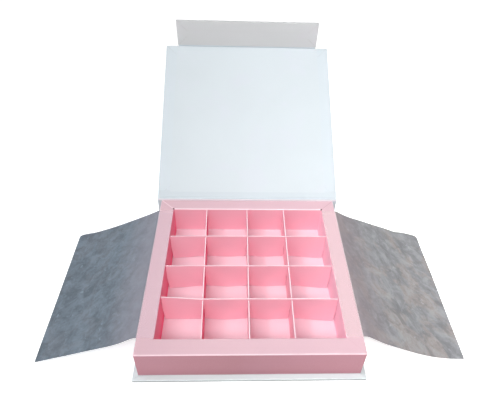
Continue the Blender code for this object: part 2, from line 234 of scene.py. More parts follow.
class DividerSettings(PropertyGroup):
    """Sizes of the slotted dividers."""

    thickness: length_setting("Card thickness", "Thickness of a divider's card", 0.9, 0.4, 1.5)
    slot_play: length_setting("Slot play", "Gap on each side of a card in its slot", 0.3, 0.1, 0.6)
    mouth_flare: length_setting(
        "Mouth flare", "How far a slot's mouth opens on each side", 0.8, 0.0, 1.2
    )
    end_taper: length_setting("End taper", "How far a card's ends draw in at its foot", 1.4, 0.0, 1.5)
    corner_lean: length_setting(
        "Corner lean", "How far the loose lower corners lean out of the card's plane", 2.8, 0.0, 4.0
    )
    first_turn: turn_setting(
        "First long card's turn", "How far the left long card stands out of square in its slots", 1.1
    )
    third_turn: turn_setting(
        "Third long card's turn", "How far the right long card stands out of square in its slots", -0.44
    )


class SheetSettings(PropertyGroup):
    """Cover sheets of translucent paper."""

    left_colour: colour_setting("Left sheet colour", "Cool grey of the left sheet", (0.186, 0.231, 0.28))
    right_colour: colour_setting(
        "Right sheet colour", "Warm grey of the right sheet", (0.30, 0.304, 0.318)
    )
    thickness: length_setting("Sheet thickness", "Thickness of the paper", 0.2, 0.05, 0.4)
    back_radius: length_setting(
        "Back corner radius", "Radius of the free corners at the back", 4.0, 0.5, 8.0
    )
    front_radius: length_setting(
        "Front corner radius", "Radius of the free corners in front", 0.8, 0.3, 8.0
    )
    back_draw: length_setting(
        "Back corner draw", "How far the sheets' hang draws the back corners forwards", 2.4, 0.0, 5.0
    )
    front_draw: length_setting(
        "Front corner draw", "How far the sheets' hang draws the front corners forwards", 0.8, 0.0, 5.0
    )
    ripple: length_setting("Ripple", "Height of the paper's slow ripples", 0.3, 0.0, 1.0)
    opacity: number_setting(
        "Opacity", "How much of what lies behind a free sheet is hidden", 0.9, 0.2, 1.0, subtype="FACTOR"
    )


class StageSettings(PropertyGroup):
    """Floor, lights and camera."""

    floor_colour: colour_setting("Floor colour", "Colour of the plain floor", (0.93, 0.93, 0.93))
    left_light: power_setting("Left light", "Power of the soft light high above the left sheet", 4.05)
    beam_light: power_setting(
        "Beam light", "Power of the narrow light that comes from the left and meets the right side", 0.26
    )
    front_light: power_setting("Front light", "Power of the soft light high in front", 2.8)
    panel_light: power_setting("Panel light", "Power of the wide soft panel in front", 2.95)
    floor_glow: number_setting("Floor glow", "Strength of the table's own even light", 0.514, 0.0, 1.0)
    surroundings: number_setting("Surroundings", "Strength of the light from all round", 0.4, 0.0, 3.0)
    lens: number_setting("Lens", "Focal length of the camera in millimetres", 33.418, 10.0, 200.0)


class Wire:
    """A shader socket that takes part in Python sums, each of which adds a Math node."""

    def __init__(self, socket, tree):
        self.socket = socket
        self.tree = tree

    def sum(self, operation, *values):
        """Add a Math node for one operation on numbers or wires."""
        node = self.tree.nodes.new("ShaderNodeMath")
        node.operation = operation
        for place, value in zip(node.inputs, values):
            if isinstance(value, Wire):
                self.tree.links.new(value.socket, place)
            else:
                place.default_value = value
        return Wire(node.outputs[0], self.tree)

    def __add__(self, other):
        return self.sum("ADD", self, other)

    def __radd__(self, other):
        return self.sum("ADD", other, self)

    def __sub__(self, other):
        return self.sum("SUBTRACT", self, other)

    def __rsub__(self, other):
        return self.sum("SUBTRACT", other, self)

    def __mul__(self, other):
        return self.sum("MULTIPLY", self, other)

    def __rmul__(self, other):
        return self.sum("MULTIPLY", other, self)

    def __truediv__(self, other):
        return self.sum("DIVIDE", self, other)

    def __abs__(self):
        return self.sum("ABSOLUTE", self)

    def most(self, other):
        """The larger of two values."""
        return self.sum("MAXIMUM", self, other)

    def least(self, other):
        """The smaller of two values."""
        return self.sum("MINIMUM", self, other)

    def near(self, place, width):
        """One at a place, falling to nought a width away from it."""
        return (1.0 - abs(self - place) / width).most(0.0)


class Finish:
    """A material: its Principled shader, the place on its piece and the methods that add nodes."""

    def __init__(self, name):
        self.material = bpy.data.materials.new(name)
        self.material.use_nodes = True
        self.tree = self.material.node_tree
        self.shader = self.tree.nodes["Principled BSDF"]
        self.point = self.node("ShaderNodeTexCoord", {}, {}, "Object")

    def feed(self, place, value):
        """Link a wire to a socket, or set the socket's own value."""
        if isinstance(value, Wire):
            self.tree.links.new(value.socket, place)
        elif place.type == "RGBA":
            place.default_value = (*value, 1.0)
        else:
            place.default_value = value

    def node(self, kind, settings, sockets, output=0):
        """Add a node: its settings first, then the values or links of its sockets."""
        node = self.tree.nodes.new(kind)
        for name, value in settings.items():
            setattr(node, name, value)
        for name, value in sockets.items():
            self.feed(node.inputs[name], value)
        return Wire(node.outputs[output], self.tree)

    def axes(self):
        """The place on the piece as three numbers."""
        split = self.node("ShaderNodeSeparateXYZ", {}, {"Vector": self.point})
        return [Wire(output, self.tree) for output in split.socket.node.outputs]

    def stretched(self, turn, scale):
        """Axes that are turned and stretched, so that a pattern runs long in one direction."""
        sockets = {"Vector": self.point, "Rotation": turn, "Scale": scale}
        return self.node("ShaderNodeMapping", {"vector_type": "TEXTURE"}, sockets)

    def cloud(self, scale, detail=3.0, roughness=0.5, warp=0.0, on=None):
        """Soft noise from nought to one, on the piece's own axes or on stretched ones."""
        sockets = {"Vector": on or self.point, "Scale": scale, "Detail": detail}
        sockets.update(Roughness=roughness, Distortion=warp)
        return self.node("ShaderNodeTexNoise", {}, sockets, "Fac")

    def stepped(self, value, low, high):
        """Nought below one value and one above another, with a smooth rise between."""
        sockets = {"Value": value, 1: low, 2: high, 3: 0.0, 4: 1.0}
        return self.node("ShaderNodeMapRange", {"interpolation_type": "SMOOTHSTEP"}, sockets)

    def passed(self, value, level, start, full):
        """Nought to one between two distances from a level, in millimetres."""
        return self.stepped(value, level + start * MM, level + full * MM)

    def blend(self, share, first, second):
        """Mix two colours by a share."""
        return self.node("ShaderNodeMix", {"data_type": "RGBA"}, {0: share, 6: first, 7: second}, 2)

    def layered(self, tint, *layers):
        """Lay colours on a tint, each by its pattern, where that sets in and is full, and its share."""
        for pattern, start, full, share, colour in layers:
            tint = self.blend(self.stepped(pattern, start, full) * share, tint, colour)
        return tint

    def bumped(self, height, depth, strength=1.0):
        """Turn a height into a normal and give it to the shader."""
        sockets = {"Height": height, "Distance": depth, "Strength": strength}
        self.feed(self.shader.inputs["Normal"], self.node("ShaderNodeBump", {}, sockets, "Normal"))

    def coated(self, tint, roughness, specular=0.5, **others):
        """Set or link the shader's colour, roughness, specular level and any other socket."""
        others.update(Base_Color=tint, Roughness=roughness, Specular_IOR_Level=specular)
        for name, value in others.items():
            self.feed(self.shader.inputs[name.replace("_", " ")], value)
        return self.material


def scaled(colour, share):
    """A colour made lighter or darker."""
    return tuple(min(1.0, part * share) for part in colour)


def paper_finish(name, colour, roughness, foot=0.0):
    """Coated paper: fine fibres, faint tint clouds and a soft sheen, with painted contact shadow by a
    share at the table.
    """
    finish = Finish(name)
    warm = finish.cloud(14.0, 2.0)
    cool = finish.cloud(31.0, 3.0, 0.55, 0.4)
    fibres = finish.cloud(2600.0, 3.0, on=finish.stretched((0.3, 0.2, 0.7), (1.0, 2.8, 1.6)))
    lilac = (colour[0] * 1.012, colour[1] * 0.985, colour[2] * 1.012)
    tint = finish.layered(
        scaled(colour, 0.985),
        (warm, 0.40, 0.62, 1.0, colour),
        (cool, 0.5, 0.68, 0.6, lilac),
        (fibres, 0.55, 0.8, 0.10, scaled(colour, 0.86)),
    )
    # Painted contact shadow, darker at the foot where the paper meets the table
    if foot:
        low_down = finish.passed(finish.axes()[2], BASE_LOW.z, 2.8, 0.9)
        tint = finish.blend(low_down * foot, tint, scaled(colour, 0.2))
    finish.bumped(fibres, 0.02 * MM, 0.35)
    return finish.coated(tint, roughness + 0.08 * cool, 0.35)


def painted_light_lap_finish(name, colour):
    """Crease paper that is paler where it laps down in front of the spine, as painted light."""
    finish = Finish(name)
    fibres = finish.cloud(2600.0, 3.0)
    # Painted light where the paper laps down in front of the spine
    painted_light_front = finish.passed(finish.axes()[1], SPINE_LOW.y, 0.25, 0.05)
    tint = finish.blend(painted_light_front, colour, (0.94, 0.91, 0.96))
    finish.bumped(fibres, 0.02 * MM, 0.35)
    return finish.coated(tint, 0.5, 0.35)


def board_finish(name, colour):
    """Raw greyboard: flecks of old print and coarse fibres."""
    finish = Finish(name)
    flecks = finish.cloud(900.0, 4.0, 0.7)
    body = finish.cloud(160.0, 3.0)
    tint = finish.layered(
        scaled(colour, 0.9),
        (body, 0.3, 0.7, 1.0, scaled(colour, 1.1)),
        (flecks, 0.62, 0.7, 1.0, scaled(colour, 0.5)),
    )
    finish.bumped(flecks, 0.05 * MM, 0.5)
    return finish.coated(tint, 0.9)


def card_grain(finish, colour):
    """The pink card's body: slow clouds, fine fibres and a few pale specks."""
    clouds = finish.cloud(22.0, 3.0, 0.5, 0.3)
    fibres = finish.cloud(2200.0, 3.0, 0.6, on=finish.stretched((0.1, 0.4, 0.3), (1.0, 2.5, 1.4)))
    tint = finish.layered(
        colour,
        (clouds, 0.35, 0.65, 0.07, (0.5, 0.3, 0.4)),
        (fibres, 0.52, 0.8, 0.06, (0.4, 0.2, 0.25)),
        (fibres, 0.5, 0.22, 0.05, (1.0, 0.9, 0.95)),
    )
    finish.bumped(fibres, 0.03 * MM, 0.4)
    return clouds, tint


def tray_finish(name, card):
    """Tray card: clear pink in the cells, with painted shade on the outer walls and the left wall,
    painted light on the floors and the right wall, and folds rubbed paler with a painted highlight.
    """
    finish = Finish(name)
    x, y, z = finish.axes()
    across = finish.passed(abs(x), INNER_X, 0.5, 0.2)
    along = finish.passed(y, INNER_FRONT, -0.5, -0.2)
    along = along * finish.passed(y, INNER_BACK, 0.5, 0.2)
    in_cells = across * along
    low_down = finish.passed(z, TRAY_HIGH.z, -0.2, -0.9)
    # Painted shade on the outer walls: darker in the middle, and less dark by the base
    mid_wall_shade = x.near(-5.0 * MM, 80.0 * MM) * 0.2
    shaded_wall = finish.blend(mid_wall_shade, scaled(card.shaded_wall_colour, 1.04), (0.1, 0.03, 0.03))
    by_base = finish.passed(z, TRAY_LOW.z, 2.2, 0.2) * 0.4
    colour = finish.blend(by_base, shaded_wall, card.tray_colour)
    colour = finish.blend(low_down, card.tray_colour, colour)
    colour = finish.blend(in_cells, colour, card.cell_colour)
    # Painted light: the cells' floors are paler
    on_floor = finish.passed(z, TRAY_LOW.z, 1.4, 1.1)
    colour = finish.blend(in_cells * on_floor, colour, card.floor_colour)
    # Painted shade on the left wall, which faces right, deepest by the floor
    left_wall = finish.passed(x, -INNER_X, 0.5, 0.3) * in_cells * low_down
    by_floor = finish.passed(z, TRAY_LOW.z, 12.0, 2.0)
    colour = finish.blend(left_wall * (0.72 + 0.28 * by_floor), colour, card.painted_shade_colour)
    # Painted light on the right wall, which faces left towards the light
    right_wall = finish.passed(x, INNER_X, -0.5, -0.3) * in_cells * low_down
    colour = finish.blend(right_wall, colour, scaled(card.cell_colour, 1.2))
    clouds, tint = card_grain(finish, colour)

    # Folds between rim and walls, rubbed paler and with a painted highlight, and the mitres: a painted
    # highlight at the back left, painted shade on the right
    top = finish.passed(z, TRAY_HIGH.z, -1.1, -0.5)
    front_fold = finish.passed(y, TRAY_LOW.y, 1.0, 0.6)
    side_folds = finish.passed(abs(x), TRAY_HIGH.x, -0.8, -0.4) * 0.5
    back_fold = y.near(INNER_BACK + 0.3 * MM, 0.9 * MM) * across
    from_middle = abs(y - INNER_MIDDLE)
    off_mitre = abs((abs(x) - INNER_X) - (from_middle - INNER_HALF))
    past_cells = finish.passed(from_middle, INNER_HALF, -0.2, 0.2)
    at_corners = (1.0 - across) * past_cells
    on_left = finish.passed(x, 0.0, 5.0, -5.0)
    behind = finish.passed(y, 0.0, -5.0, 5.0)
    mitre_highlight = off_mitre.near(0.0, 1.1 * MM) * at_corners * on_left * behind
    folds = (front_fold * 0.55).most(side_folds).most((back_fold * 2.0).least(1.0))
    # Rubbed card and a painted highlight along the folds and the back left mitres
    rubbed = top * folds.most(mitre_highlight * 0.8)
    uneven = 0.8 + 0.4 * finish.cloud(260.0, 2.0)
    tint = finish.blend((rubbed * uneven).least(1.0), tint, card.core_colour)
    shaded_mitre = off_mitre.near(0.0, 0.7 * MM) * at_corners * (1.0 - on_left)
    tint = finish.blend(shaded_mitre * top * (0.06 + 0.34 * behind), tint, (0.35, 0.12, 0.16))

    # The rims' flaps don't quite meet at the inner back corners, which leaves two small holes, painted
    # dark as the shade inside them
    open_corner = abs(x).near(INNER_X + 0.3 * MM, 1.0 * MM) * y.near(INNER_BACK + 0.4 * MM, 1.0 * MM)
    dark = (open_corner * 3.0).least(1.0) * top
    tint = finish.blend(dark, tint, (0.10, 0.01, 0.03))
    return finish.coated(tint, 0.5 + 0.12 * clouds, 0.4)


def divider_finish(name, card, place=None, turn=0.0, depth=1.0):
    """Divider card, the same stock as the tray, with painted shade on a long card's right face."""
    finish = Finish(name)
    colour = card.divider_colour
    if place is not None:
        x, y, _ = finish.axes()
        right_face = finish.passed(x + turn * y, place, 0.1, 0.3)
        colour = finish.blend(right_face * depth, colour, card.painted_shade_colour)
    clouds, tint = card_grain(finish, colour)
    return finish.coated(tint, 0.52 + 0.12 * clouds, 0.4)


def core_finish(name, card):
    """Cut edges of the card: layered pale fibres."""
    finish = Finish(name)
    layers = finish.cloud(3200.0, 2.0)
    tint = finish.layered(card.core_colour, (layers, 0.4, 0.7, 1.0, scaled(card.core_colour, 0.93)))
    finish.bumped(layers, 0.04 * MM, 0.5)
    return finish.coated(tint, 0.75)


def vellum_finish(name, colour, look, opacity):
    """Mottled translucent paper: slanted clouds, pale fibre flecks and a mauve tinge by the rim, painted
    pink light from the tray's card.
    """
    finish = Finish(name)
    slanted = finish.stretched((0.0, 0.0, look.side * 0.6), (1.0, look.stretch, 1.0))
    broad = finish.cloud(30.0, 2.0, 0.5, 0.6)
    patches = finish.cloud(look.patch_scale, 5.0, 0.58, 0.7, on=slanted)
    mottle = finish.cloud(125.0, 6.0, 0.64, 0.5, on=slanted)
    grain = finish.cloud(560.0, 3.0, 0.6, 0.3, on=slanted)
    flecks = finish.cloud(230.0, 3.0, 0.6, 0.2, on=slanted)
    tint = finish.layered(
        scaled(colour, 0.93),
        (broad, 0.3, 0.7, 1.0, scaled(colour, 1.07)),
        (patches, 0.46, 0.58, look.patch_share, look.patch_colour),
        (mottle, 0.47, 0.66, 0.6, scaled(colour, 1.45)),
        (mottle, 0.51, 0.35, 0.6, scaled(colour, 0.66)),
        (grain, 0.52, 0.78, 0.35, scaled(colour, 1.5)),
        (grain, 0.48, 0.26, 0.3, scaled(colour, 0.65)),
        (flecks, 0.62, 0.76, 0.5, scaled(colour, 2.0)),
    )
    if look.creased:
        edges = {"feature": "DISTANCE_TO_EDGE"}
        creases = finish.node("ShaderNodeTexVoronoi", edges, {"Vector": finish.point, "Scale": 21.0})
        some = finish.stepped(finish.cloud(24.0, 1.0), 0.5, 0.62)
        tint = finish.blend(creases.near(0.0, 0.009) * some * 0.35, tint, scaled(colour, 1.4))
    # Painted pink light from the tray's card on the paper by the rim
    rim_light_share = finish.passed(abs(finish.axes()[0]), SHEET_FOLD, 36.7, -1.3)
    tint = finish.blend(rim_light_share * 0.62, tint, look.rim_light_colour)
    finish.bumped(mottle + 0.4 * grain, 0.1 * MM, 0.4)
    return finish.coated(tint, 0.5 + 0.15 * mottle, 0.3, Alpha=opacity)


def strip_finish(name, tints, edge):
    """The same paper where it is glued flat on the card, which shows through up to its edge."""
    finish = Finish(name)
    mottle = finish.cloud(260.0, 4.0, 0.6, on=finish.stretched((0.0, 0.0, 0.6), (1.0, 2.0, 1.0)))
    tint = finish.blend(finish.stepped(mottle, 0.35, 0.7), *tints)
    finish.bumped(mottle, 0.02 * MM, 0.1)
    past_card = finish.passed(abs(finish.axes()[0]), TRAY_HIGH.x, -0.2, -0.05)
    tint = finish.blend(past_card, tint, edge)
    cover = (0.255 + 0.02 * mottle).most(past_card)
    return finish.coated(tint, 0.6, 0.3, Alpha=cover)


def steel_finish(name):
    """Plated disc magnets."""
    finish = Finish(name)
    grain = finish.cloud(3000.0, 2.0, on=finish.stretched((0.0, 0.0, 0.0), (1.0, 10.0, 1.0)))
    tint = finish.blend(grain, (0.52, 0.52, 0.54), (0.66, 0.66, 0.68))
    return finish.coated(tint, 0.22 + 0.15 * grain, Metallic=1.0)


def floor_finish(name, colour, glow):
    """Plain pale light table with a barely uneven sheen."""
    finish = Finish(name)
    haze = finish.cloud(3.0, 2.0)
    tint = finish.blend(haze, scaled(colour, 0.995), colour)
    light = {"Emission_Color": (1.0, 1.0, 1.0), "Emission_Strength": glow}
    return finish.coated(tint, 0.85 + 0.05 * haze, 0.1, **light)


def give(piece, *finishes):
    """Put materials on a piece in place of those it has."""
    piece.data.materials.clear()
    for material in finishes:
        piece.data.materials.append(material)


def dress(name, finish):
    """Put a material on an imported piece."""
    give(frame["nodes"][name], finish)


def deselect():
    """Leave edit mode and select nothing."""
    if bpy.context.object is not None and bpy.context.object.mode != "OBJECT":
        bpy.ops.object.mode_set(mode="OBJECT")
    bpy.ops.object.select_all(action="DESELECT")


def choose(piece):
    """Select one piece alone and make it the active one."""
    deselect()
    bpy.context.view_layer.objects.active = piece
    piece.select_set(True)


def open_piece(piece):
    """Open one piece alone in edit mode, to work on its vertices."""
    choose(piece)
    bpy.ops.object.mode_set(mode="EDIT")
    bpy.ops.mesh.select_mode(type="VERT")


def close_piece(turn_out=False):
    """Go back to object mode, after turning all faces the same way out if asked."""
    if turn_out:
        bpy.ops.mesh.select_all(action="SELECT")
        bpy.ops.mesh.normals_make_consistent(inside=False)
    bpy.ops.object.mode_set(mode="OBJECT")


def pick(piece, test):
    """Select the open piece's vertices that pass a test, and nothing else."""
    bpy.ops.mesh.select_all(action="DESELECT")
    bm = bmesh.from_edit_mesh(piece.data)
    for vert in bm.verts:
        vert.select_set(test(vert.co))
    bm.select_flush_mode()
    bmesh.update_edit_mesh(piece.data)


def pick_faces(piece, test):
    """Select the open piece's faces whose middle passes a test, and nothing else."""
    bpy.ops.mesh.select_mode(type="FACE")
    bpy.ops.mesh.select_all(action="DESELECT")
    bm = bmesh.from_edit_mesh(piece.data)
    for face in bm.faces:
        face.select_set(test(face.calc_center_median()))
    bmesh.update_edit_mesh(piece.data)


def cut_across(places, along):
    """Cut the open piece across a direction at several places."""
    for place in places:
        bpy.ops.mesh.select_all(action="SELECT")
        bpy.ops.mesh.bisect(plane_co=along * place, plane_no=along, use_fill=False)


def finish_modifier(piece, name, kind, **settings):
    """Add a modifier, set it and apply it."""
    modifier = piece.modifiers.new(name, kind)
    for setting, value in settings.items():
        setattr(modifier, setting, value)
    choose(piece)
    bpy.ops.object.modifier_apply(modifier=modifier.name)


def ease_edges(piece, width):
    """Round a thickened piece's edges a little."""
    settings = {"segments": 2, "limit_method": "ANGLE", "angle_limit": radians(50)}
    finish_modifier(piece, "edges", "BEVEL", width=width, **settings)


def smooth(piece, angle):
    """Shade a piece smooth, but for its edges sharper than an angle in degrees."""
    choose(piece)
    bpy.ops.object.shade_smooth_by_angle(angle=radians(angle))


def thicken_paper(piece, thickness):
    """Give a folded paper its thickness, half on each side, and shade its bends smooth."""
    finish_modifier(piece, "paper", "SOLIDIFY", thickness=thickness, offset=0.0)
    smooth(piece, 60.0)


def add_sheet(name, width, length, place=(0.0, 0.0, 0.0), turn=(0.0, 0.0, 0.0)):
    """Cut a flat rectangle of paper or card and lay it at its place."""
    deselect()
    bpy.ops.mesh.primitive_plane_add(size=1.0, location=place, rotation=turn)
    sheet = bpy.context.object
    sheet.name = name
    sheet.data.name = name
    sheet.scale = (width, length, 1.0)
    bpy.ops.object.transform_apply(location=True, rotation=True, scale=True)
    return sheet


def grid_places(start, end, step, avoid, margin):
    """Even places between two ends, kept clear of others."""
    count = max(1, round((end - start) / step))
    places = [start + (end - start) * number / count for number in range(1, count)]
    return [place for place in places if all(abs(place - other) > margin for other in avoid)]


def model_divider(name, node, heading, slots, sizes):
    """Cut a card with flared slots, from below where it heads along X and from above along Y."""
    low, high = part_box(node)
    number = 0 if heading == "X" else 1
    slots_at_top = heading == "Y"
    start, end = low[number], high[number]
    along = ALONG_X if heading == "X" else ALONG_Y
    middle = (low + high) / 2
    height = high.z - low.z
    turn = (pi / 2, 0.0, 0.0 if heading == "X" else pi / 2)
    card = add_sheet(name, end - start, height, middle, turn)

    # Cuts at the slots' walls, and a grid that lets the card lean
    spacing = 4 * MM
    past_middle = 0.15 * MM
    mouth_depth = 1.5 * MM
    half_slot = sizes.thickness / 2 + sizes.slot_play
    walls = [slot + side * half_slot for slot in slots for side in (-1, 1)]
    slot_end = middle.z - past_middle if slots_at_top else middle.z + past_middle
    mouth = high.z - mouth_depth if slots_at_top else low.z + mouth_depth
    levels = [slot_end, mouth]
    open_piece(card)
    cut_across(walls + grid_places(start, end, spacing, walls, 1.9 * MM), along)
    cut_across(levels + grid_places(low.z, high.z, spacing, levels, 0.8 * MM), ALONG_Z)

    # Open the slots
    def in_slot(point):
        cut_half = point.z > slot_end if slots_at_top else point.z < slot_end
        return cut_half and any(abs(point[number] - slot) < half_slot for slot in slots)

    pick_faces(card, in_slot)
    bpy.ops.mesh.delete(type="FACE")

    # Flare each mouth
    bpy.ops.mesh.select_mode(type="VERT")
    rim = high.z if slots_at_top else low.z
    for slot in slots:
        for side in (-1, 1):
            wall = slot + side * half_slot
            pick(card, lambda point: abs(point[number] - wall) < NEAR and abs(point.z - rim) < NEAR)
            bpy.ops.transform.translate(value=along * (side * sizes.mouth_flare))

    # Draw the ends in towards the foot, below half height
    for level in sorted({round(vert.co.z, 6) for vert in bmesh.from_edit_mesh(card.data).verts}):
        share = 1.0 - (level - low.z) / (height / 2)
        if share <= 0.0:
            continue
        for place, side in ((start, 1.0), (end, -1.0)):
            pick(card, lambda point: abs(point.z - level) < NEAR and abs(point[number] - place) < NEAR)
            bpy.ops.transform.translate(value=along * (side * share * sizes.end_taper))
    close_piece()
    return card


def lean_corner(card, corner, push, reach):
    """Pull one place of a card out of its plane, fading away from it."""
    open_piece(card)
    bm = bmesh.from_edit_mesh(card.data)
    nearest = min(bm.verts, key=lambda vert: (vert.co - corner).length).co.copy()
    pick(card, lambda point: (point - nearest).length < NEAR)
    bpy.ops.transform.translate(
        value=push,
        use_proportional_edit=True,
        proportional_edit_falloff="SMOOTH",
        proportional_size=reach,
        use_proportional_connected=True,
    )
    close_piece()


def thicken_card(card, thickness):
    """Give a card its thickness, with its own material on the cut edges, and ease the edges."""
    settings = {"offset": 0.0, "use_even_offset": True, "material_offset_rim": 1}
    finish_modifier(card, "card", "SOLIDIFY", thickness=thickness, **settings)
    ease_edges(card, 0.09 * MM)
    smooth(card, 20.0)


def panel_point(pivot, rise, along, level):
    """A point given on a tilted panel: along it from its crease, and square to it."""
    direction = Vector((0.0, cos(rise), sin(rise)))
    return pivot + direction * along + ALONG_X.cross(direction) * level


def lid_point(along, level):
    """A point given on the lid: along it from its crease, and up from its inner face."""
    return panel_point(LID_PIVOT, LID_RISE, along, level)


def flap_point(along, level):
    """A point given on the flap: along it from its crease, and in from its outer face."""
    return panel_point(FLAP_PIVOT, LID_RISE + FLAP_BEND, along, level)


def spine_point(behind, above):
    """A point given from the spine's upper back edge."""
    return Vector((0.0, SPINE_HIGH.y + behind, SPINE_HIGH.z + above))


def model_crease(name, path, half_width, thickness):
    """Fold a long strip of paper along a path that runs across the crease."""
    strip = add_sheet(name, 2 * half_width, 1.0 * MM)
    half_strip = 0.5 * MM
    open_piece(strip)
    pick(strip, lambda point: point.y < 0)
    bpy.ops.transform.translate(value=Vector((0.0, path[0].y + half_strip, path[0].z)))
    bpy.ops.mesh.select_all(action="INVERT")
    bpy.ops.transform.translate(value=Vector((0.0, path[1].y - half_strip, path[1].z)))
    for last, point in zip(path[1:], path[2:]):
        step = Vector((0.0, point.y - last.y, point.z - last.z))
        bpy.ops.mesh.extrude_region_move(TRANSFORM_OT_translate={"value": step})
    columns = 24
    cut_across([half_width * (2 * step / columns - 1) for step in range(1, columns)], ALONG_X)
    close_piece(turn_out=True)
    thicken_paper(strip, thickness)
    return strip


def model_lining(name, length, half_width, place, turn, thickness):
    """Cut a lining sheet with nipped corners and lay it on a tilted panel's inner face."""
    lining = add_sheet(name, 2 * half_width, length)
    open_piece(lining)
    bpy.ops.mesh.select_all(action="SELECT")
    bpy.ops.mesh.bevel(offset=0.7 * MM, segments=3, affect="VERTICES")
    close_piece()
    finish_modifier(lining, "paper", "SOLIDIFY", thickness=thickness, offset=1.0)
    ease_edges(lining, thickness * 0.4)
    lining.rotation_euler = (turn, 0.0, 0.0)
    lining.location = place
    bpy.ops.object.transform_apply(location=True, rotation=True, scale=True)
    smooth(lining, 20.0)
    return lining


def profile_lengths(profile):
    """Lengths along a profile to each of its points."""
    lengths = [0.0]
    for first, second in zip(profile, profile[1:]):
        lengths.append(lengths[-1] + (Vector(second) - Vector(first)).length)
    return lengths


def along_profile(profile, lengths, share):
    """The point at a share of a profile's length, on a smooth curve through its points."""
    wanted = share * lengths[-1]
    last = len(lengths) - 1
    number = 1
    while number < last and wanted > lengths[number]:
        number += 1
    step = (wanted - lengths[number - 1]) / (lengths[number] - lengths[number - 1])
    before = Vector(profile[max(number - 2, 0)])
    first = Vector(profile[number - 1])
    second = Vector(profile[number])
    after = Vector(profile[min(number + 1, last)])
    return 0.5 * (
        2 * first
        + (second - before) * step
        + (2 * before - 5 * first + 4 * second - after) * step**2
        + (3 * first - before - 3 * second + after) * step**3
    )


def model_sheet(name, look, sizes):
    """Cut a cover sheet flat, then let it hang from the rim to the table along its profiles."""
    back_lengths = profile_lengths(look.back)
    front_lengths = profile_lengths(look.front)
    reach = max(back_lengths[-1], front_lengths[-1]) * MM
    length = STRIP_HIGH.y - STRIP_LOW.y
    sheet = add_sheet(name, reach, length, (reach / 2, 0.0, 0.0))
    open_piece(sheet)
    pick(sheet, lambda point: point.x > reach / 2 and point.y > 0)
    bpy.ops.mesh.bevel(offset=sizes.back_radius, segments=6, affect="VERTICES")
    pick(sheet, lambda point: point.x > reach / 2 and point.y < 0)
    bpy.ops.mesh.bevel(offset=sizes.front_radius, segments=3, affect="VERTICES")
    columns = 44
    rows = 48
    cut_across([reach * step / columns for step in range(1, columns)], ALONG_X)
    cut_across([length * (step / rows - 0.5) for step in range(1, rows)], ALONG_Y)

    # Hang it: two profiles with even steps between them, slow ripples, and the table below
    middle = (STRIP_LOW.y + STRIP_HIGH.y) / 2
    ground = sizes.thickness / 2 + 0.03 * MM
    bm = bmesh.from_edit_mesh(sheet.data)
    for vert in bm.verts:
        share = vert.co.x / reach
        backness = vert.co.y / length + 0.5
        low = along_profile(look.front, front_lengths, share)
        high = along_profile(look.back, back_lengths, share)
        spot = low.lerp(high, backness) * MM
        free = min(1.0, share * 3.0)
        wave = noise.noise(Vector((share * 2.6 + 5 * look.side, backness * 3.2, 0.3)))
        lift = sizes.ripple * 2.0 * wave * free
        height = max(spot.y + lift, ground + 0.02 * MM * (1 + wave))
        draw = sizes.front_draw + (sizes.back_draw - sizes.front_draw) * backness
        vert.co = Vector((look.side * spot.x, vert.co.y + middle - draw * share**2, height))
    bmesh.update_edit_mesh(sheet.data)
    close_piece(turn_out=True)
    corners = "PRESERVE_CORNERS"
    finish_modifier(sheet, "smoothing", "SUBSURF", levels=1, render_levels=1, boundary_smooth=corners)
    thicken_paper(sheet, sizes.thickness)
    return sheet, reach, length


def model_glued_strip(name, side, thickness):
    """Lay the sheet's glued border on the rim, eased down over both folds."""
    inner = STRIP_LOW.x
    outer = SHEET_FOLD
    middle = (STRIP_LOW + STRIP_HIGH) / 2
    place = Vector((side * (inner + outer) / 2, middle.y, middle.z))
    strip = add_sheet(name, outer - inner, STRIP_HIGH.y - STRIP_LOW.y, place)
    open_piece(strip)
    cuts = [inner + step * MM for step in (0.2, 0.5, 1.1, 4.1, 8.1)]
    cuts += [outer - step * MM for step in (1.7, 0.9, 0.5, 0.25)]
    cut_across([side * cut for cut in cuts], ALONG_X)
    cut_across([step * 7 * MM for step in range(-10, 11)], ALONG_Y)
    drops = ((inner, 0.22), (inner + 0.2 * MM, 0.08), (outer - 0.25 * MM, 0.03), (outer, 0.12))
    for place, drop in drops:
        pick(strip, lambda point: abs(abs(point.x) - place) < NEAR)
        bpy.ops.transform.translate(value=Vector((0.0, 0.0, -drop * MM)))
    close_piece(turn_out=True)
    thicken_paper(strip, thickness * 0.6)
    return strip


def model_mitre_seams(name):
    """Fill the rims' diagonal slits with the card's edges, which all but touch."""
    length = 15.6 * MM
    width = 0.26 * MM
    thickness = 0.3 * MM
    off_corner = 8.6 * MM / sqrt(2.0)
    level = TRAY_HIGH.z - 0.02 * MM
    bars = []
    for x, across in ((-INNER_X, -1.0), (INNER_X, 1.0)):
        for y, along in ((INNER_FRONT, -1.0), (INNER_BACK, 1.0)):
            place = (x + across * off_corner, y + along * off_corner, level)
            bars.append(add_sheet(name, length, width, place, (0.0, 0.0, pi / 4 * across * along)))
    choose(bars[0])
    for bar in bars:
        bar.select_set(True)
    bpy.ops.object.join()
    seams = bpy.context.object
    finish_modifier(seams, "card", "SOLIDIFY", thickness=thickness, offset=-1.0)
    return seams


def model_glue_bed(name):
    """Fill the glue line between the base and the tray, a little inside the tray's walls."""
    inset = 0.5 * MM
    gap = 0.02 * MM
    low, high = BASE_HIGH.z, TRAY_LOW.z
    size = TRAY_HIGH - TRAY_LOW
    middle = (TRAY_LOW + TRAY_HIGH) / 2
    place = (middle.x, middle.y, (low + high) / 2)
    bed = add_sheet(name, size.x - 2 * inset, size.y - 2 * inset, place)
    finish_modifier(bed, "bed", "SOLIDIFY", thickness=high - low - 2 * gap, offset=0.0)
    return bed


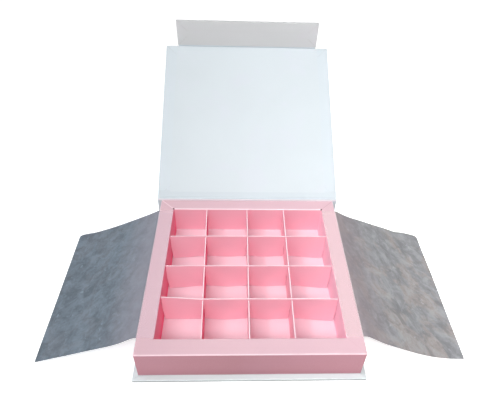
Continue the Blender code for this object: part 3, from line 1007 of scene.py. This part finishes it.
def base_crease_path(off):
    """Up the back, over the seam between the base and the spine."""
    seam = (BASE_HIGH.z + SPINE_LOW.z) / 2
    levels = (-2.05, -1.25, -0.45, 0.0, 0.45, 1.35, 3.15)
    return [Vector((0.0, SPINE_HIGH.y + off, seam + level * MM)) for level in levels]


def lid_outer_path(off):
    """Outside the lid's hinge, from the spine's outer face to the lid's lower edge."""
    path = [spine_point(off, level * MM) for level in (-5.3, -2.8, -1.1, -0.4, -0.05)]
    path.append(spine_point(off + 0.08 * MM, 0.2 * MM))
    return path + [lid_point(0.2 * MM, -level * MM) for level in (0.15, 0.45, 0.9, 1.6, 2.2)]


def lid_inner_path(off):
    """Inside the lid's hinge, from the spine's front over its top onto the lid."""
    front = -PANEL - off
    path = [spine_point(front, level * MM) for level in (-1.9, -1.1, -0.5)]
    path.append(spine_point(front + 0.03 * MM, -0.2 * MM))
    path.append(spine_point(front + 0.15 * MM, off - 0.06 * MM))
    path += [spine_point(step * MM, off) for step in (-2.35, -1.35, -0.65, -0.3)]
    path.append(spine_point(-0.03 * MM, 0.16 * MM))
    return path + [lid_point(step * MM, off) for step in (0.3, 0.7, 1.5, 4.0, 7.0)]


def flap_outer_path(reach, off):
    """Outside the flap's crease, from the lid's outer face onto the flap's strip."""
    depth = -PANEL - off
    path = [lid_point(reach + step * MM, depth) for step in (-5.5, -3.5, -2.0, -1.0, -0.4)]
    path.append(lid_point(reach, depth + 0.02 * MM))
    return path + [flap_point(step * MM, -off) for step in (0.5, 1.2, 2.2)]


def flap_inner_path(reach, off):
    """Inside the flap's crease, from the lid's upper edge up to the flap's inner face."""
    turns = ((1.45 * MM, off), (1.28 * MM, off), (1.2 * MM, 0.3 * MM), (1.24 * MM, 0.8 * MM))
    path = [lid_point(reach - step, level) for step, level in turns]
    return path + [flap_point(step * MM, PANEL + off) for step in (3.08, 3.3, 3.6)]


class FLIPTOP_OT_case_papers(Operator):
    """Finish the case's wraps and boards, and line its lid and flap."""

    bl_idname = "fliptop.case_papers"
    bl_label = "Case papers and boards"

    def execute(self, context):
        papers = context.scene.fliptop_papers
        wrap = paper_finish("white_wrapping_paper", papers.wrap_colour, 0.42)
        lining = paper_finish("lining_paper", papers.lining_colour, 0.48)
        # The flap's paper carries painted shade and painted warm light
        flap_paper = paper_finish("flap_paper", papers.shaded_flap_colour, 0.45)
        # The base's paper is the wrap made lighter, as painted light, with painted contact shadow at the
        # table
        base_light_shares = (1.14, 1.145, 1.09)
        lit_base_colour = tuple(part * share for part, share in zip(papers.wrap_colour, base_light_shares))
        base_paper = paper_finish("base_paper", lit_base_colour, 0.42, 1.0)
        board = board_finish("raw_greyboard", papers.board_colour)
        wraps = {"base_wrap": base_paper, "spine_wrap": wrap, "lid_wrap": wrap, "flap_wrap": flap_paper}
        for name, paper in wraps.items():
            dress(name, paper)
        for name in ("base_board", "spine_board", "lid_board", "flap_board"):
            dress(name, board)

        # The linings hide the ends' turn-ins and lap over the sides' by a little
        lap = 0.5 * MM
        linings = (
            ("lid", 5.5 * MM, 176.3 * MM, lid_point, CLEAR, LID_RISE, lining),
            ("flap", 3.7 * MM, 20.4 * MM, flap_point, PANEL + CLEAR, LID_RISE + FLAP_BEND, flap_paper),
        )
        thickness = papers.lining_thickness
        for body, start, end, point_on, level, turn, paper in linings:
            half_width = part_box(f"{body}_liner")[1].x + lap
            place = point_on((start + end) / 2, level)
            piece = model_lining(f"{body}_lining", end - start, half_width, place, turn, thickness)
            give(piece, paper)
            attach(piece, body)
            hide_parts(f"{body}_liner")
        return {"FINISHED"}


class FLIPTOP_OT_creases(Operator):
    """Bridge the case's creases with paper that bends between the panels."""

    bl_idname = "fliptop.creases"
    bl_label = "Crease papers"

    def execute(self, context):
        papers = context.scene.fliptop_papers
        # The crease papers are the wrap made darker, as painted shade in the creases
        colour = scaled(papers.wrap_colour, 0.95)
        paper = paper_finish("crease_paper", colour, 0.45)
        lap_paper = painted_light_lap_finish("lap_paper", colour)
        thickness = papers.crease_thickness
        off = thickness / 2 + CLEAR
        end_gap = 0.6 * MM
        half = BASE_HIGH.x - end_gap
        flap_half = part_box("flap_wrap")[1].x - end_gap
        reach = (FLAP_PIVOT - LID_PIVOT).dot(lid_point(1.0, 0.0) - LID_PIVOT)

        lower = model_crease("base_crease", base_crease_path(off), half, thickness)
        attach(lower, "root")

        hinge = model_crease("lid_crease_outside", lid_outer_path(off), half, thickness)
        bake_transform(hinge)

        lining = model_crease("lid_crease_inside", lid_inner_path(off), half, thickness)
        lid_point(0.6 * MM, 0.0)
        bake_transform(lining)

        front = model_crease("flap_crease", flap_outer_path(reach, off), flap_half, thickness)
        start = lid_point(reach - 0.5 * MM, -PANEL - off)
        flap_point(0.5 * MM, 0.0)
        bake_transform(front)

        path = flap_inner_path(reach, off)
        tuck = model_crease("flap_crease_inside", path, flap_half - end_gap, thickness)
        start = lid_point(reach - 1.2 * MM, 0.1 * MM)
        flap_point(3.1 * MM, PANEL)
        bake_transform(tuck)

        for piece in (lower, hinge, lining, front, tuck):
            give(piece, lap_paper if piece is lining else paper)
        return {"FINISHED"}


class FLIPTOP_OT_tray(Operator):
    """Finish the folded tray in pink card, close its mitres and fill its glue line."""

    bl_idname = "fliptop.tray"
    bl_label = "Tray card"

    def execute(self, context):
        card = context.scene.fliptop_card
        finish = tray_finish("tray_card", card)
        dress("tray", finish)
        seams = model_mitre_seams("rim_mitre_seams")
        give(seams, finish)
        bed = model_glue_bed("tray_glue_bed")
        give(bed, core_finish("glued_paper", card))
        for piece in (seams, bed):
            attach(piece, "root")
        return {"FINISHED"}


class FLIPTOP_OT_dividers(Operator):
    """Cut the slotted dividers and let their loose corners lean."""

    bl_idname = "fliptop.dividers"
    bl_label = "Slotted dividers"

    def execute(self, context):
        card = context.scene.fliptop_card
        sizes = context.scene.fliptop_dividers
        face = divider_finish("divider_card", card)
        core = core_finish("card_core", card)
        cross_nodes = [f"cross_divider_{number}" for number in (1, 2, 3)]
        long_nodes = [f"long_divider_{number}" for number in (1, 2, 3)]
        cross_places = [sum(corner.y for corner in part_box(node)) / 2 for node in cross_nodes]
        long_places = [sum(corner.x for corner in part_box(node)) / 2 for node in long_nodes]
        turns = (sizes.first_turn, 0.0, sizes.third_turn)

        # Lean of each cross card's lower left, lower right and upper left corner, as shares
        lean_shares = ((-0.1, -0.95, 0.7), (-0.9, -1.0, 0.0), (-0.9, -0.85, 0.0))
        for node, place, shares in zip(cross_nodes, cross_places, lean_shares):
            slots = [spot - turn * place for spot, turn in zip(long_places, turns)]
            piece = model_divider(node + "_card", node, "X", slots, sizes)
            self.lean(piece, node, place, shares, long_places, sizes.corner_lean)
            self.finish(piece, node, face, core, sizes)

        # Painted shade where the light turns away from the right faces, most of all on the first long
        # card
        painted_shade_shares = (1.0, 0.85, 0.65)
        for node, spot, turn, share in zip(long_nodes, long_places, turns, painted_shade_shares):
            face = divider_finish(node + "_finish", card, spot, turn, share)
            piece = model_divider(node + "_card", node, "Y", cross_places, sizes)
            if turn:
                self.turn(piece, turn)
            self.finish(piece, node, face, core, sizes)
        return {"FINISHED"}

    def lean(self, piece, node, place, shares, long_places, push):
        """Let one cross card's corners lean, and its foot sag between the long cards."""
        low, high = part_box(node)
        corner_reach = 33 * MM
        foot_reach = 16 * MM
        foot_share = -0.3
        corners = ((low.x, low.z), (high.x, low.z), (low.x, high.z))
        for (x, z), share in zip(corners, shares):
            if share:
                lean_corner(piece, Vector((x, place, z)), Vector((0.0, share * push, 0.0)), corner_reach)
        for first, second in zip(long_places, long_places[1:]):
            foot = Vector(((first + second) / 2, place, low.z))
            lean_corner(piece, foot, Vector((0.0, foot_share * push, 0.0)), foot_reach)

    def turn(self, piece, angle):
        """Stand one card a little out of square, about its own middle."""
        open_piece(piece)
        bpy.ops.mesh.select_all(action="SELECT")
        middle = sum((Vector(corner) for corner in piece.bound_box), Vector()) / 8
        bpy.ops.transform.rotate(value=-angle, orient_axis="Z", center_override=middle)
        close_piece()

    def finish(self, piece, node, face, core, sizes):
        """Thicken one card, finish it and put it in its node's place."""
        give(piece, face, core)
        thicken_card(piece, sizes.thickness)
        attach(piece, "root")
        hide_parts(node)


class FLIPTOP_OT_cover_sheets(Operator):
    """Hang the two vellum cover sheets from the rims and glue down their borders."""

    bl_idname = "fliptop.cover_sheets"
    bl_label = "Cover sheets"

    def execute(self, context):
        sizes = context.scene.fliptop_sheets
        card = scaled(context.scene.fliptop_card.tray_colour, 0.9)
        colours = {"left": sizes.left_colour, "right": sizes.right_colour}
        for word, look in SHEETS.items():
            strip = model_glued_strip(f"{word}_border", look.side, sizes.thickness)
            give(strip, strip_finish(f"{look.paper}_border", look.border_colours, card))
            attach(strip, "root")
            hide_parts(f"{word}_glued_strip")

            sheet, reach, length = model_sheet(f"{word}_cover_sheet", look, sizes)
            give(sheet, vellum_finish(f"{look.paper}_vellum", colours[word], look, sizes.opacity))
            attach(sheet, f"{word}_wing")
            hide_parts(f"{word}_sheet")
            self.let_turn(sheet, word, look)
        return {"FINISHED"}

    def let_turn(self, sheet, word, look):
        """Give a sheet its own copy of its mesh."""
        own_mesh(sheet)


class FLIPTOP_OT_magnets(Operator):
    """Finish the hidden magnets."""

    bl_idname = "fliptop.magnets"
    bl_label = "Magnets"

    def execute(self, context):
        steel = steel_finish("plated_steel")
        for side in ("left", "right"):
            for place in ("tray", "flap"):
                dress(f"{side}_{place}_magnet", steel)
        return {"FINISHED"}


class FLIPTOP_OT_stage(Operator):
    """Lay the floor, light it softly and stand the camera at the photograph's place."""

    bl_idname = "fliptop.stage"
    bl_label = "Floor, lights and camera"

    def execute(self, context):
        stage = context.scene.fliptop_stage
        floor = add_sheet("floor", 12.0, 12.0, (0.0, 1.5, 0.0))
        give(floor, floor_finish("pale_floor", stage.floor_colour, stage.floor_glow))

        # Each light's name, place, size, power, spread in degrees and target
        lights = (
            ("left_softbox", (-0.5, 0.1, 1.4), 0.5, stage.left_light, 180, (0.0, 0.03, 0.0)),
            ("left_beam", (-0.8, -0.2, 1.3), 0.15, stage.beam_light, 26, (0.32, 0.05, 0.0)),
            ("front_softbox", (0.0, -1.0, 1.3), 0.5, stage.front_light, 75, (0.5, 0.0, 0.0)),
            ("front_panel", (0.0, -1.0, 1.2), 1.5, stage.panel_light, 180, (0.0, 0.0, 0.0)),
        )
        for name, place, size, power, spread, target in lights:
            bpy.ops.object.light_add(type="AREA", location=place)
            light = context.object
            light.name = name
            light.data.size = size
            light.data.energy = power
            light.data.spread = radians(spread)
            aim = Vector(target) - Vector(place)
            light.rotation_euler = aim.to_track_quat("-Z", "Y").to_euler()

        world = bpy.data.worlds.new("soft_surroundings")
        world.use_nodes = True
        background = world.node_tree.nodes["Background"]
        background.inputs["Color"].default_value = (0.98, 0.99, 1.0, 1.0)
        background.inputs["Strength"].default_value = stage.surroundings
        context.scene.world = world
        context.scene.view_settings.view_transform = "Standard"
        context.scene.camera = self.stand_camera(stage.lens)
        return {"FINISHED"}

    def stand_camera(self, lens):
        """Stand the camera where a fit to the photograph's corners puts it."""
        place = (-0.01173, -0.26553, 0.33123)
        pitch, yaw, roll = radians(-42.177), radians(3.255), radians(2.504)
        bpy.ops.object.camera_add(location=place)
        camera = bpy.context.object
        camera.name = "photograph_view"
        ahead = Vector((cos(pitch) * sin(yaw), cos(pitch) * cos(yaw), sin(pitch)))
        level = Vector((cos(yaw), -sin(yaw), 0.0))
        up = level.cross(ahead)
        across = level * cos(roll) + up * sin(roll)
        upward = up * cos(roll) - level * sin(roll)
        camera.rotation_euler = Matrix((across, upward, -ahead)).transposed().to_euler()
        camera.data.lens = lens
        camera.data.shift_x = -0.01086
        camera.data.shift_y = 0.02878
        camera.data.clip_start = 0.01
        camera.data.clip_end = 50.0
        return camera


class FLIPTOP_PT_box(Panel):
    """Sizes, colours and steps of the gift box."""

    bl_idname = "FLIPTOP_PT_box"
    bl_label = "Flip-top gift box"
    bl_space_type = "VIEW_3D"
    bl_region_type = "UI"
    bl_category = "Gift Box"

    def draw(self, context):
        for group_name in GROUPS:
            group = getattr(context.scene, group_name)
            box = self.layout.box()
            for name in group.__annotations__:
                box.prop(group, name)
        for step in STEPS:
            self.layout.operator(step.bl_idname)


GROUPS = {
    "fliptop_papers": PaperSettings,
    "fliptop_card": CardSettings,
    "fliptop_dividers": DividerSettings,
    "fliptop_sheets": SheetSettings,
    "fliptop_stage": StageSettings,
}

STEPS = (
    FLIPTOP_OT_case_papers,
    FLIPTOP_OT_creases,
    FLIPTOP_OT_tray,
    FLIPTOP_OT_dividers,
    FLIPTOP_OT_cover_sheets,
    FLIPTOP_OT_magnets,
    FLIPTOP_OT_stage,
)


def register():
    """Register the settings, steps and panel."""
    for name, group in GROUPS.items():
        bpy.utils.register_class(group)
        setattr(bpy.types.Scene, name, PointerProperty(type=group))
    for step in STEPS:
        bpy.utils.register_class(step)
    bpy.utils.register_class(FLIPTOP_PT_box)


def unregister():
    """Take the panel, steps and settings out again."""
    bpy.utils.unregister_class(FLIPTOP_PT_box)
    for step in reversed(STEPS):
        bpy.utils.unregister_class(step)
    for name, group in GROUPS.items():
        delattr(bpy.types.Scene, name)
        bpy.utils.unregister_class(group)


def main():
    """Build the looks step by step."""
    register()
    bpy.ops.fliptop.case_papers()
    bpy.ops.fliptop.creases()
    bpy.ops.fliptop.tray()
    bpy.ops.fliptop.dividers()
    bpy.ops.fliptop.cover_sheets()
    bpy.ops.fliptop.magnets()
    bpy.ops.fliptop.stage()
    deselect()


if __name__ == "__main__":
    main()
